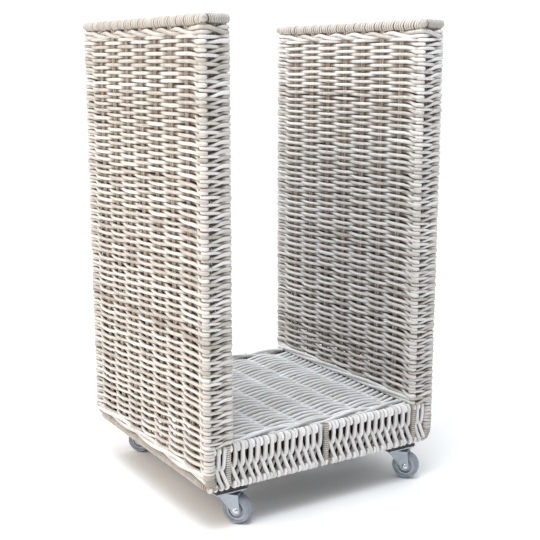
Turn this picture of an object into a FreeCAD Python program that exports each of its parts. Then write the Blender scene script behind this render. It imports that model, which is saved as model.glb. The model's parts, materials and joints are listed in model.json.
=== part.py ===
import FreeCAD, Part
import math
import os
import Sketcher

# Log carrier of woven rattan: two hollow side panels, a deck between them and four swivel casters.
# Millimetres. +Z is up, the front faces -Y, the origin is on the floor under the middle of the base.

DRIVING_SIZES = {
    # whole carrier
    "overall_width": 480,
    "overall_depth": 465,
    "overall_height": 840,
    "panel_thickness": 52,
    "deck_height": 150,
    "base_height": 74,
    # woven walls and the canes inside them
    "weave_wall": 18,
    "corner_round": 8,
    "post_diameter": 10,
    "stake_diameter": 5,
    "stake_pair_spacing": 6.4,
    "stake_pairs_per_face": 7,
    "end_stake_spacing": 8,
    "deck_stake_diameter": 6,
    "deck_stake_count": 5,
    "cane_clearance": 0.2,
    # gaps that the strands leave in the walls and aprons, and the dips that they make in the deck
    "gap_rows": 12,
    "gap_length": 30,
    "gap_height": 8,
    "apron_gaps_per_bay": 11,
    "apron_gap_width": 6,
    "apron_gap_margin": 7,
    "deck_row_count": 57,
    "deck_dip_depth": 7,
    "deck_dip_floor": 18,
    "deck_dip_margin": 4,
    # peel-wrapped poles
    "top_rail_diameter": 21,
    "end_rail_diameter": 16,
    "bottom_rail_diameter": 16,
    "deck_rail_diameter": 16,
    "butt_clearance": 0.2,
    # boards, ribs and blocks under the deck
    "board_thickness": 12,
    "board_width": 74,
    "rib_thickness": 12,
    "rib_spacing": 130,
    "block_length": 60,
    "block_width": 46,
    "block_thickness": 18,
    # caster plate and its fixings
    "caster_height": 60,
    "caster_inset_side": 57,
    "caster_inset_end": 40,
    "caster_heading": -50,
    "plate_length": 58,
    "plate_width": 44,
    "plate_thickness": 2.5,
    "screw_spacing_length": 44,
    "screw_spacing_width": 34,
    "screw_diameter": 5,
    "screw_head_diameter": 9,
    "screw_head_height": 2,
    "screw_bite": 9,
    "screw_clearance": 0.1,
    # swivel
    "kingpin_diameter": 8,
    "kingpin_head_diameter": 13,
    "kingpin_head_height": 2,
    "kingpin_end_play": 0.1,
    "kingpin_recess_clearance": 1,
    "ball_diameter": 3.2,
    "ball_play": 0.1,
    "ball_circle_diameter": 21,
    "ball_count": 12,
    # fork and wheel
    "fork_sheet": 2,
    "crown_lead": 13,
    "crown_rear": 27,
    "fork_boss_diameter": 16,
    "trail": 22,
    "axle_diameter": 6,
    "axle_cap_diameter": 11,
    "axle_cap_height": 3,
    "running_clearance": 0.06,
    "hub_width": 23,
    "hub_side_play": 0.5,
    "hub_boss_diameter": 17,
    "hub_web": 10,
    "hub_rim_width": 19,
    "hub_rim_wall": 4,
    "tyre_seat_diameter": 36,
    "tyre_seat_clearance": 0.02,
    "tyre_shoulder_diameter": 45,
    "tyre_width": 22,
    "wheel_diameter": 50,
}

CUT_OVERRUN = 1
ROUND_SHARE_OF_WALL = 0.45
PANEL_SIDES = (("left", -1), ("right", 1))
ENDS = (("front", -1), ("back", 1))
CASTERS = tuple(
    (f"{end}_{side}", side_sign, end_sign) for end, end_sign in ENDS for side, side_sign in PANEL_SIDES
)

doc = FreeCAD.newDocument("LogCarrier")
nodes = []

# Spreadsheet of the driving sizes
sheet = doc.addObject("Spreadsheet::Sheet", "Sizes")
for row, (alias, number) in enumerate(DRIVING_SIZES.items(), start=1):
    sheet.set(f"A{row}", alias)
    sheet.set(f"B{row}", str(number))
    sheet.setAlias(f"B{row}", alias)
doc.recompute()


class Size:
    """A dimension: its expression in spreadsheet cells and, beside it, its present value."""

    def __init__(self, text, value):
        self.text = text
        self.value = value

    def __add__(self, other):
        other = as_size(other)
        return Size(f"({self.text} + {other.text})", self.value + other.value)

    def __sub__(self, other):
        other = as_size(other)
        return Size(f"({self.text} - {other.text})", self.value - other.value)

    def __mul__(self, factor):
        factor = as_size(factor)
        return Size(f"({self.text} * {factor.text})", self.value * factor.value)

    def __truediv__(self, divisor):
        divisor = as_size(divisor)
        return Size(f"({self.text} / {divisor.text})", self.value / divisor.value)

    def __neg__(self):
        return Size(f"(-{self.text})", -self.value)


def as_size(number):
    """A Size from a Size or from a plain number."""
    return number if isinstance(number, Size) else Size(repr(number), number)


def size(alias):
    """The driving size that has this alias in the spreadsheet."""
    return Size(f"Sizes.{alias}", float(sheet.get(alias)))


def count(alias):
    """A driving size that counts copies."""
    return round(size(alias).value)


# Derived sizes
half_width = size("overall_width") / 2
half_depth = size("overall_depth") / 2
wall = size("weave_wall")
mid_wall_x = half_width - wall / 2
mid_wall_y = half_depth - wall / 2
inner_face_x = half_width - size("panel_thickness")
inner_mid_wall_x = inner_face_x + wall / 2
panel_mid_x = half_width - size("panel_thickness") / 2

base_bottom = size("base_height")
board_under = size("caster_height") + size("block_thickness")
bottom_rail_axis = base_bottom + size("bottom_rail_diameter") / 2
side_bottom = base_bottom + size("bottom_rail_diameter")
deck_under = size("deck_height") - size("deck_rail_diameter")
deck_mid = deck_under + size("deck_rail_diameter") / 2
top_under = size("overall_height") - size("top_rail_diameter")
top_rail_axis = top_under + size("top_rail_diameter") / 2

stake_pitch = mid_wall_y * 2 / (size("stake_pairs_per_face") + 1)
deck_half_length = mid_wall_y - size("deck_rail_diameter") / 2 - size("butt_clearance")
deck_half_width = inner_face_x - size("butt_clearance")
rail_bay_half_width = mid_wall_x - size("bottom_rail_diameter") / 2 - size("butt_clearance")
rail_bay_half_depth = mid_wall_y - size("bottom_rail_diameter") / 2 - size("butt_clearance")
apron_bay_half_depth = half_depth - wall - size("butt_clearance")

plate_under = size("caster_height") - size("plate_thickness")
crown_top = plate_under - size("ball_diameter") - size("ball_play") * 2
crown_under = crown_top - size("fork_sheet")
wheel_radius = size("wheel_diameter") / 2
fork_gap = size("hub_width") + size("hub_side_play") * 2
fork_width = fork_gap + size("fork_sheet") * 2
kingpin_bore = size("kingpin_diameter") / 2 + size("running_clearance")


def caster_x(side_sign):
    """Swivel axis of a caster, across the carrier."""
    return (half_width - size("caster_inset_side")) * side_sign


def caster_y(end_sign):
    """Swivel axis of a caster, along the carrier."""
    return (half_depth - size("caster_inset_end")) * end_sign


def bind(target, **expressions):
    """Ties properties of an object to spreadsheet expressions."""
    for prop, dimension in expressions.items():
        target.setExpression(prop, as_size(dimension).text)


def placement_text(x, y, z, turn=0, about="0; 0; 1"):
    """Expression of a placement: a point and a turn in degrees about a direction."""
    point = "; ".join(as_size(part).text for part in (x, y, z))
    return f"placement(vector({point}); rotation(vector({about}); {as_size(turn).text}))"


def block(name, centre, bottom, lengths):
    """Box centred on a point in plan, standing on a height."""
    length, width, height = lengths
    shape = doc.addObject("Part::Box", name)
    bind(shape, Length=length, Width=width, Height=height)
    corner = (as_size(centre[0]) - length / 2, as_size(centre[1]) - width / 2, bottom)
    shape.setExpression("Placement", placement_text(*corner))
    return shape


POLE_TURNS = {"x": (90, "0; 1; 0"), "y": (-90, "1; 0; 0"), "z": (0, "0; 0; 1")}


def pole(name, diameter, start, length, along):
    """Round pole from a start point along one axis."""
    shape = doc.addObject("Part::Cylinder", name)
    bind(shape, Radius=diameter / 2, Height=length)
    turn, about = POLE_TURNS[along]
    shape.setExpression("Placement", placement_text(*start, turn, about))
    return shape


def centred_pole(name, diameter, centre, length, along):
    """Round pole whose middle is at a point."""
    start = [as_size(part) for part in centre]
    axis = "xyz".index(along)
    start[axis] = start[axis] - length / 2
    return pole(name, diameter, start, length, along)


def group(name, members):
    """Separate solids kept together."""
    shape = doc.addObject("Part::Compound", name)
    shape.Links = members
    return shape


def cut(name, base, tools):
    """A solid less a list of others."""
    shape = doc.addObject("Part::Cut", name)
    shape.Base = base
    shape.Tool = group(f"{name}_tools", tools)
    return shape


def rounded(name, box, face_x):
    """A box with its upright edges rounded on the face at one x."""
    doc.recompute()
    radius = min(size("corner_round").value, wall.value * ROUND_SHARE_OF_WALL)
    shape = doc.addObject("Part::Fillet", name)
    shape.Base = box
    edges = []
    for number, edge in enumerate(box.Shape.Edges, start=1):
        first, last = edge.Vertexes
        upright = abs(first.Z - last.Z) > wall.value
        if upright and abs(first.X - face_x.value) < size("cane_clearance").value:
            edges.append((number, radius, radius))
    shape.Edges = edges
    return shape


def node(label, shape):
    """Names a finished sub-part."""
    shape.Label = label
    nodes.append(shape)


# Sketched bodies of the casters
def new_sketch(body, name, plane):
    """Empty sketch on one of a body's own origin planes."""
    sketch = body.newObject("Sketcher::SketchObject", name)
    support = [feature for feature in body.Origin.OriginFeatures if feature.Role == plane][0]
    sketch.AttachmentSupport = [(support, "")]
    sketch.MapMode = "FlatFace"
    return sketch


def pin_point(sketch, geometry, position, name, x, y):
    """Holds a point of a sketch at a bound distance from the sketch's origin."""
    for kind, axis, dimension in (("DistanceX", -2, as_size(x)), ("DistanceY", -1, as_size(y))):
        if dimension.value == 0:
            sketch.addConstraint(Sketcher.Constraint("PointOnObject", geometry, position, axis))
            continue
        number = sketch.addConstraint(Sketcher.Constraint(kind, -1, 1, geometry, position, dimension.value))
        sketch.renameConstraint(number, f"{name}_{kind}")
        sketch.setExpression(f"Constraints.{name}_{kind}", dimension.text)


def pin_radius(sketch, geometry, name, radius):
    """Holds an arc's or a circle's radius at a bound size."""
    number = sketch.addConstraint(Sketcher.Constraint("Radius", geometry, radius.value))
    sketch.renameConstraint(number, name)
    sketch.setExpression(f"Constraints.{name}", radius.text)


def outline_sketch(body, name, plane, corners, arcs=()):
    """Closed outline through corners listed anticlockwise. arcs maps a side to its bulging radius."""
    sketch = new_sketch(body, name, plane)
    arcs = dict(arcs)
    points = [FreeCAD.Vector(as_size(x).value, as_size(y).value, 0) for x, y in corners]
    for side, start in enumerate(points):
        end = points[(side + 1) % len(points)]
        if side in arcs:
            chord = end - start
            radius = arcs[side].value
            rise = radius - math.sqrt(radius**2 - (chord.Length / 2) ** 2)
            outward = FreeCAD.Vector(chord.y, -chord.x, 0).normalize()
            sketch.addGeometry(Part.Arc(start, (start + end) / 2 + outward * rise, end))
        else:
            sketch.addGeometry(Part.LineSegment(start, end))
    for side, corner in enumerate(corners):
        previous = (side - 1) % len(corners)
        sketch.addConstraint(Sketcher.Constraint("Coincident", previous, 2, side, 1))
        pin_point(sketch, side, 1, f"corner{side}", *corner)
        if side in arcs:
            pin_radius(sketch, side, f"bulge{side}", arcs[side])
    return sketch


def circle_sketch(body, name, plane, centre, radius):
    """One circle at a bound place."""
    sketch = new_sketch(body, name, plane)
    middle = FreeCAD.Vector(as_size(centre[0]).value, as_size(centre[1]).value, 0)
    sketch.addGeometry(Part.Circle(middle, FreeCAD.Vector(0, 0, 1), radius.value))
    pin_point(sketch, 0, 3, "centre", *centre)
    pin_radius(sketch, 0, "radius", radius)
    return sketch


def symmetric_feature(body, kind, name, sketch, length):
    """Pad or pocket that reaches as far on both sides of its sketch."""
    feature = body.newObject(kind, name)
    feature.Profile = sketch
    feature.SideType = "Symmetric"
    bind(feature, Length=length)
    return feature


def turned_body(name, plane, corners, arcs=()):
    """Body turned about the sketch's upright axis."""
    body = doc.addObject("PartDesign::Body", name)
    profile = outline_sketch(body, f"{name}_profile", plane, corners, arcs)
    turned = body.newObject("PartDesign::Revolution", f"{name}_turned")
    turned.Profile = profile
    turned.ReferenceAxis = (profile, ["V_Axis"])
    turned.Angle = 360
    return body


def dome_radius(half_chord, rise):
    """Radius of the arc with this half chord and this rise."""
    return (half_chord * half_chord + rise * rise) / (rise * 2)


def fork_body(name):
    """Bent sheet fork: a crown under the balls and two legs that trail to the axle."""
    body = doc.addObject("PartDesign::Body", name)
    trail = size("trail")
    boss = size("fork_boss_diameter") / 2
    rear = size("crown_rear")
    leg = [
        (-size("crown_lead"), crown_top),
        (trail - boss, wheel_radius),
        (trail + boss, wheel_radius),
        (rear, crown_top),
    ]
    leg_sketch = outline_sketch(body, f"{name}_leg", "XZ_Plane", leg)
    symmetric_feature(body, "PartDesign::Pad", f"{name}_legs", leg_sketch, fork_width)
    boss_sketch = circle_sketch(body, f"{name}_boss", "XZ_Plane", (trail, wheel_radius), boss)
    symmetric_feature(body, "PartDesign::Pad", f"{name}_bosses", boss_sketch, fork_width)
    reach = trail + boss + rear
    bay = [(-reach, 0), (reach, 0), (reach, crown_under), (-reach, crown_under)]
    bay_sketch = outline_sketch(body, f"{name}_bay", "XZ_Plane", bay)
    symmetric_feature(body, "PartDesign::Pocket", f"{name}_bay_cut", bay_sketch, fork_gap)
    pin_sketch = circle_sketch(body, f"{name}_pin_hole", "XY_Plane", (0, 0), kingpin_bore)
    symmetric_feature(body, "PartDesign::Pocket", f"{name}_pin_cut", pin_sketch, crown_top * 2 + CUT_OVERRUN)
    axle_bore = size("axle_diameter") / 2 + size("running_clearance")
    axle_sketch = circle_sketch(body, f"{name}_axle_hole", "XZ_Plane", (trail, wheel_radius), axle_bore)
    symmetric_feature(body, "PartDesign::Pocket", f"{name}_axle_cut", axle_sketch, fork_width + CUT_OVERRUN)
    return body


def axle_body(name):
    """Axle pin with a domed end outside each leg."""
    half = fork_width / 2
    pin = size("axle_diameter") / 2
    cap = size("axle_cap_diameter") / 2
    tip = half + size("axle_cap_height")
    corners = [(0, -tip), (cap, -half), (pin, -half), (pin, half), (cap, half), (0, tip)]
    dome = dome_radius(cap, size("axle_cap_height"))
    return turned_body(name, "XY_Plane", corners, {0: dome, 4: dome})


def hub_body(name):
    """Wheel hub: a boss on the axle, a web and a rim that the tyre sits on."""
    bore = size("axle_diameter") / 2 + size("running_clearance")
    boss = size("hub_boss_diameter") / 2
    seat = size("tyre_seat_diameter") / 2
    rim = seat - size("hub_rim_wall")
    half_boss = size("hub_width") / 2
    half_web = size("hub_web") / 2
    half_rim = size("hub_rim_width") / 2
    lower = [
        (bore, -half_boss),
        (boss, -half_boss),
        (boss, -half_web),
        (rim, -half_web),
        (rim, -half_rim),
        (seat, -half_rim),
    ]
    upper = [(radius, -level) for radius, level in reversed(lower)]
    return turned_body(name, "XY_Plane", lower + upper)


def tyre_body(name):
    """Rubber tyre with a crowned tread."""
    seat = size("tyre_seat_diameter") / 2 + size("tyre_seat_clearance")
    shoulder = size("tyre_shoulder_diameter") / 2
    half = size("tyre_width") / 2
    corners = [(seat, -half), (shoulder, -half), (shoulder, half), (seat, half)]
    return turned_body(name, "XY_Plane", corners, {1: dome_radius(half, wheel_radius - shoulder)})


def kingpin_body(name):
    """Rivet through plate and crown, with a head under the crown and one above the plate."""
    pin = size("kingpin_diameter") / 2
    head = size("kingpin_head_diameter") / 2
    lower_head_top = crown_under - size("kingpin_end_play")
    lower = lower_head_top - size("kingpin_head_height")
    upper_head_under = size("caster_height")
    upper = upper_head_under + size("kingpin_head_height")
    corners = [
        (0, lower),
        (head, lower),
        (head, lower_head_top),
        (pin, lower_head_top),
        (pin, upper_head_under),
        (head, upper_head_under),
        (head, upper),
        (0, upper),
    ]
    return turned_body(name, "XZ_Plane", corners)


kingpins = []
for name, side_sign, end_sign in CASTERS:
    swivel_text = placement_text(caster_x(side_sign), caster_y(end_sign), 0, size("caster_heading"))
    wheel_text = f"{swivel_text} * {placement_text(size('trail'), 0, wheel_radius)}"
    fork = fork_body(f"{name}_fork_body")
    fork.setExpression("Placement", swivel_text)
    node(f"{name}_fork", fork)
    for piece, maker in (("axle", axle_body), ("hub", hub_body), ("tyre", tyre_body)):
        body = maker(f"{name}_{piece}_body")
        body.setExpression("Placement", wheel_text)
        node(f"{name}_{piece}", body)
    kingpin = kingpin_body(f"{name}_kingpin_body")
    kingpin.setExpression("Placement", swivel_text)
    kingpins.append(kingpin)
node("caster_kingpins", group("all_kingpins", kingpins))


# Panel posts, stakes and woven faces
def upright_bore(name, diameter, x, y, bottom, top):
    """Cutter for an upright cane's hole, longer than the wall at both ends."""
    bore = diameter + size("cane_clearance") * 2
    start = (x, y, bottom - CUT_OVERRUN)
    return pole(name, bore, start, top - bottom + 2 * CUT_OVERRUN, "z")


def stake_places(face_x):
    """Plan points of the paired stakes in one long face."""
    places = []
    for pair in range(1, count("stake_pairs_per_face") + 1):
        middle = stake_pitch * pair - mid_wall_y
        for twin in (-1, 1):
            places.append((face_x, middle + size("stake_pair_spacing") * twin / 2))
    return places


def weave_gaps(name, face_x, bottom):
    """Cutters for the gaps that the strands leave at the stakes, half a step higher at every other pair."""
    pitch = (top_under - bottom) / (size("gap_rows") + 0.5)
    lengths = (wall + 2 * CUT_OVERRUN, size("gap_length"), size("gap_height"))
    cutters = []
    for pair in range(1, count("stake_pairs_per_face") + 1):
        centre = (face_x, stake_pitch * pair - mid_wall_y)
        for row in range(count("gap_rows")):
            level = bottom + pitch * (row + 0.5 + pair % 2 / 2)
            cutters.append(block(f"{name}_gap{pair}_{row}", centre, level - lengths[2] / 2, lengths))
    return cutters


def long_face(side, face, face_x, outer_x, bottom):
    """One long woven face of a panel, with its two posts and its stakes."""
    name = f"{side}_{face}"
    height = top_under - bottom
    post_height = top_under - side_bottom
    post_diameter = size("post_diameter")
    slab = block(f"{name}_slab", (face_x, 0), bottom, (wall, size("overall_depth"), height))
    soft = rounded(f"{name}_slab_rounded", slab, outer_x)
    open_weave = cut(f"{name}_open", soft, weave_gaps(name, face_x, bottom))
    bores = []
    for end, end_sign in ENDS:
        place = (face_x, mid_wall_y * end_sign)
        post = pole(f"{name}_{end}_pole", post_diameter, (*place, side_bottom), post_height, "z")
        node(f"{side}_{face}_{end}_post", post)
        bores.append(upright_bore(f"{name}_{end}_post_bore", post_diameter, *place, bottom, top_under))
    stakes = []
    for number, place in enumerate(stake_places(face_x)):
        stakes.append(pole(f"{name}_stake{number}", size("stake_diameter"), (*place, bottom), height, "z"))
        bores.append(upright_bore(f"{name}_bore{number}", size("stake_diameter"), *place, bottom, top_under))
    node(f"{side}_panel_{face}_weave", cut(f"{name}_woven", open_weave, bores))
    return stakes


def end_face(side, sign, end, end_sign):
    """The narrow woven strip between the two long faces, with its two stakes."""
    name = f"{side}_{end}"
    height = top_under - deck_under
    centre = (panel_mid_x * sign, mid_wall_y * end_sign)
    strip_width = size("panel_thickness") - wall * 2
    strip = block(f"{name}_strip", centre, deck_under, (strip_width, wall, height))
    diameter = size("stake_diameter")
    stakes = []
    bores = []
    for twin in (-1, 1):
        place = (centre[0] + size("end_stake_spacing") * twin / 2, centre[1])
        stakes.append(pole(f"{name}_stake{twin + 1}", diameter, (*place, deck_under), height, "z"))
        bores.append(upright_bore(f"{name}_bore{twin + 1}", diameter, *place, deck_under, top_under))
    node(f"{side}_panel_{end}_weave", cut(f"{name}_woven", strip, bores))
    return stakes


def top_border(side, sign):
    """Four peel-wrapped poles on top of a panel. The left-hand one runs the full depth."""
    diameter = size("top_rail_diameter")
    end_diameter = size("end_rail_diameter")
    panel_x = panel_mid_x * sign
    spread = (size("panel_thickness") - diameter) / 2
    left_face, right_face = ("outer", "inner") if sign < 0 else ("inner", "outer")
    left_middle = (panel_x - spread, 0, top_rail_axis)
    left = centred_pole(f"{side}_rail_a", diameter, left_middle, size("overall_depth"), "y")
    node(f"{side}_top_{left_face}_rail", left)
    between = size("overall_depth") - (end_diameter + size("butt_clearance")) * 2
    right_middle = (panel_x + spread, 0, top_rail_axis)
    right = centred_pole(f"{side}_rail_b", diameter, right_middle, between, "y")
    node(f"{side}_top_{right_face}_rail", right)
    short = size("panel_thickness") - diameter - size("butt_clearance")
    short_x = panel_x + (size("panel_thickness") - short) / 2
    short_z = size("overall_height") - end_diameter / 2
    ends = []
    for end, end_sign in ENDS:
        end_middle = (short_x, (half_depth - end_diameter / 2) * end_sign, short_z)
        ends.append(centred_pole(f"{side}_rail_{end}", end_diameter, end_middle, short, "x"))
    node(f"{side}_top_end_rails", group(f"{side}_rail_ends", ends))


for side, sign in PANEL_SIDES:
    stakes = long_face(side, "outer", mid_wall_x * sign, half_width * sign, side_bottom)
    stakes += long_face(side, "inner", inner_mid_wall_x * sign, inner_face_x * sign, deck_under)
    for end, end_sign in ENDS:
        stakes += end_face(side, sign, end, end_sign)
    node(f"{side}_panel_stakes", group(f"{side}_stakes", stakes))
    top_border(side, sign)

# Base: bottom poles, aprons with their posts, deck and deck rails
base_pole_diameter = size("bottom_rail_diameter")
for side, sign in PANEL_SIDES:
    axis_point = (mid_wall_x * sign, 0, bottom_rail_axis)
    rail = centred_pole(f"{side}_base_pole", base_pole_diameter, axis_point, size("overall_depth"), "y")
    node(f"{side}_bottom_rail", rail)

deck_pole_diameter = size("deck_rail_diameter")
apron_lengths = ((half_width - wall) * 2, wall, deck_under - side_bottom)
apron_gap_bottom = side_bottom + size("apron_gap_margin")
apron_gap_height = apron_lengths[2] - size("apron_gap_margin") * 2
apron_gap_lengths = (size("apron_gap_width"), wall + 2 * CUT_OVERRUN, apron_gap_height)
apron_gap_pitch = inner_mid_wall_x / (size("apron_gaps_per_bay") + 1)
mid_posts = []
for end, end_sign in ENDS:
    end_y = mid_wall_y * end_sign
    middle = (0, end_y, bottom_rail_axis)
    bottom_pole = centred_pole(f"{end}_base_pole", base_pole_diameter, middle, rail_bay_half_width * 2, "x")
    node(f"{end}_bottom_rail", bottom_pole)
    middle = (0, end_y, deck_mid)
    deck_pole = centred_pole(f"{end}_deck_pole", deck_pole_diameter, middle, deck_half_width * 2, "x")
    node(f"{end}_deck_rail", deck_pole)
    apron = block(f"{end}_apron_slab", (0, end_y), side_bottom, apron_lengths)
    post_start = (0, end_y, side_bottom)
    mid_posts.append(pole(f"{end}_mid_pole", size("post_diameter"), post_start, apron_lengths[2], "z"))
    bores = []
    for number, post_x in enumerate((-inner_mid_wall_x, 0, inner_mid_wall_x)):
        bore_name = f"{end}_apron_bore{number}"
        bores.append(upright_bore(bore_name, size("post_diameter"), post_x, end_y, side_bottom, deck_under))
    gaps = []
    for side, sign in PANEL_SIDES:
        for number in range(1, count("apron_gaps_per_bay") + 1):
            centre = (apron_gap_pitch * number * sign, end_y)
            gaps.append(block(f"{end}_{side}_gap{number}", centre, apron_gap_bottom, apron_gap_lengths))
    node(f"{end}_apron_weave", cut(f"{end}_apron_woven", apron, bores + gaps))
node("apron_mid_posts", group("mid_posts", mid_posts))

deck_stakes = []
deck_bores = []
deck_lengths = (deck_half_width * 2, deck_half_length * 2, deck_pole_diameter)
deck_cane_diameter = size("deck_stake_diameter")
deck_bore_diameter = deck_cane_diameter + size("cane_clearance") * 2
deck_bore_length = deck_lengths[1] + 2 * CUT_OVERRUN
deck_pitch = deck_lengths[0] / (size("deck_stake_count") + 1)
for number in range(1, count("deck_stake_count") + 1):
    middle = (deck_pitch * number - deck_half_width, 0, deck_mid)
    deck_stakes.append(centred_pole(f"deck_cane{number}", deck_cane_diameter, middle, deck_lengths[1], "y"))
    deck_bores.append(centred_pole(f"deck_bore{number}", deck_bore_diameter, middle, deck_bore_length, "y"))
node("deck_stakes", group("deck_canes", deck_stakes))


def trough(name, centre, lengths, width):
    """Cutter for a dip in the deck's top, with sloping ends. lengths are those of its floor and its mouth."""
    shape = doc.addObject("Part::Wedge", name)
    floor, mouth = lengths
    half = width / 2
    bind(shape, Xmin=-floor / 2, Xmax=floor / 2, X2min=-mouth / 2, X2max=mouth / 2)
    bind(shape, Ymin=-size("deck_dip_depth"), Ymax=CUT_OVERRUN)
    bind(shape, Zmin=-half, Zmax=half, Z2min=-half, Z2max=half)
    shape.setExpression("Placement", placement_text(*centre, size("deck_height"), 90, "1; 0; 0"))
    return shape


# The strands of each deck row dip under every other cane, and those of the next row under the others
deck_row_pitch = deck_lengths[1] / size("deck_row_count")
dip_lengths = (size("deck_dip_floor"), deck_pitch - size("deck_dip_margin"))
dips = []
for row in range(count("deck_row_count")):
    row_y = deck_row_pitch * (row + 0.5) - deck_half_length
    for cane in range(1 + (row + 1) % 2, count("deck_stake_count") + 1, 2):
        place = (deck_pitch * cane - deck_half_width, row_y)
        dips.append(trough(f"deck_dip{row}_{cane}", place, dip_lengths, deck_row_pitch))
deck = block("deck_slab", (0, 0), deck_under, deck_lengths)
node("deck_weave", cut("deck_woven", cut("deck_dipped", deck, dips), deck_bores))


# Boards, ribs and blocks that tie the casters to the base
def screw_places(side_sign, end_sign):
    """Plan points of one caster's four screws."""
    return [
        (
            caster_x(side_sign) + size("screw_spacing_length") * across / 2,
            caster_y(end_sign) + size("screw_spacing_width") * along / 2,
        )
        for across in (-1, 1)
        for along in (-1, 1)
    ]


def screw_bores(name, side_sign, end_sign, bottom, height):
    """Cutters for one caster's four screws through a layer."""
    diameter = size("screw_diameter") + size("screw_clearance") * 2
    cutters = []
    for number, place in enumerate(screw_places(side_sign, end_sign)):
        start = (*place, bottom - CUT_OVERRUN)
        cutters.append(pole(f"{name}_screw_bore{number}", diameter, start, height + 2 * CUT_OVERRUN, "z"))
    return cutters


board_y = rail_bay_half_depth - size("board_width") / 2
for end, end_sign in ENDS:
    board_lengths = (rail_bay_half_width * 2, size("board_width"), size("board_thickness"))
    plank = block(f"{end}_plank", (0, board_y * end_sign), board_under, board_lengths)
    bores = []
    for side, side_sign in PANEL_SIDES:
        bores += screw_bores(f"{end}_{side}_board", side_sign, end_sign, board_under, size("board_thickness"))
    node(f"{end}_caster_board", cut(f"{end}_board", plank, bores))

rib_bottom = board_under + size("board_thickness")
rib_lengths = (size("rib_thickness"), apron_bay_half_depth * 2, deck_under - rib_bottom)
ribs = []
for place in (-1, 0, 1):
    rib_centre = (size("rib_spacing") * place, 0)
    ribs.append(block(f"rib{place + 1}", rib_centre, rib_bottom, rib_lengths))
node("deck_ribs", group("ribs", ribs))

blocks = []
plates = []
screws = []
balls = []
recess_diameter = size("kingpin_head_diameter") + size("kingpin_recess_clearance") * 2
for name, side_sign, end_sign in CASTERS:
    place = (caster_x(side_sign), caster_y(end_sign))

    pad_under = size("caster_height")
    pad_lengths = (size("block_length"), size("block_width"), size("block_thickness"))
    pad = block(f"{name}_pad", place, pad_under, pad_lengths)
    cutters = screw_bores(f"{name}_block", side_sign, end_sign, pad_under, pad_lengths[2])
    recess_start = (*place, pad_under - CUT_OVERRUN)
    recess_height = pad_lengths[2] + 2 * CUT_OVERRUN
    cutters.append(pole(f"{name}_recess", recess_diameter, recess_start, recess_height, "z"))
    blocks.append(cut(f"{name}_block", pad, cutters))

    plate_lengths = (size("plate_length"), size("plate_width"), size("plate_thickness"))
    sheet_plate = block(f"{name}_sheet", place, plate_under, plate_lengths)
    cutters = screw_bores(f"{name}_plate", side_sign, end_sign, plate_under, size("plate_thickness"))
    pin_start = (*place, plate_under - CUT_OVERRUN)
    pin_height = size("plate_thickness") + 2 * CUT_OVERRUN
    cutters.append(pole(f"{name}_pin_bore", kingpin_bore * 2, pin_start, pin_height, "z"))
    plates.append(cut(f"{name}_plate", sheet_plate, cutters))

    for number, screw_place in enumerate(screw_places(side_sign, end_sign)):
        grip = size("plate_thickness") + size("block_thickness") + size("screw_bite")
        shank = pole(f"{name}_shank{number}", size("screw_diameter"), (*screw_place, plate_under), grip, "z")
        head_start = (*screw_place, plate_under - size("screw_head_height"))
        head_height = size("screw_head_height")
        head = pole(f"{name}_head{number}", size("screw_head_diameter"), head_start, head_height, "z")
        screw = doc.addObject("Part::Fuse", f"{name}_screw{number}")
        screw.Base = shank
        screw.Tool = head
        screws.append(screw)

    for number in range(count("ball_count")):
        angle = math.tau * number / count("ball_count")
        ball = doc.addObject("Part::Sphere", f"{name}_ball{number}")
        bind(ball, Radius=size("ball_diameter") / 2)
        ring_radius = size("ball_circle_diameter") / 2
        ball_x = place[0] + ring_radius * math.cos(angle)
        ball_y = place[1] + ring_radius * math.sin(angle)
        ball_z = crown_top + size("ball_play") + size("ball_diameter") / 2
        ball.setExpression("Placement", placement_text(ball_x, ball_y, ball_z))
        balls.append(ball)
node("caster_blocks", group("all_blocks", blocks))
node("caster_plates", group("all_plates", plates))
node("caster_screws", group("all_screws", screws))
node("caster_balls", group("all_balls", balls))

# Checks on the finished document, then one file for each sub-part
doc.recompute()
for item in doc.Objects:
    if "Invalid" in item.State or "Error" in item.State:
        raise RuntimeError(f"{item.Name} did not compute: {item.State}")
    if item.TypeId == "PartDesign::Pocket" and item.Shape.Volume >= item.BaseFeature.Shape.Volume:
        raise RuntimeError(f"{item.Name} cuts nothing")
    if item.TypeId == "Part::Cut" and item.Shape.Volume >= item.Base.Shape.Volume:
        raise RuntimeError(f"{item.Name} cuts nothing")
for item in nodes:
    if item.Shape.isNull() or not item.Shape.isValid():
        raise RuntimeError(f"{item.Label} has no valid shape")

os.makedirs("parts", exist_ok=True)
for item in nodes:
    item.Shape.exportStep(f"parts/{item.Label}.step")
print(f"{len(nodes)} sub-parts written")
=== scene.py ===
"""Looks of the rattan log carrier: woven strands, wrapped poles, casters, floor, light and camera.

Lengths of the carrier are in millimetres until a mesh is built. Floor, lights and camera are in metres.
"""

import json
import math
from math import pi, tau

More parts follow.
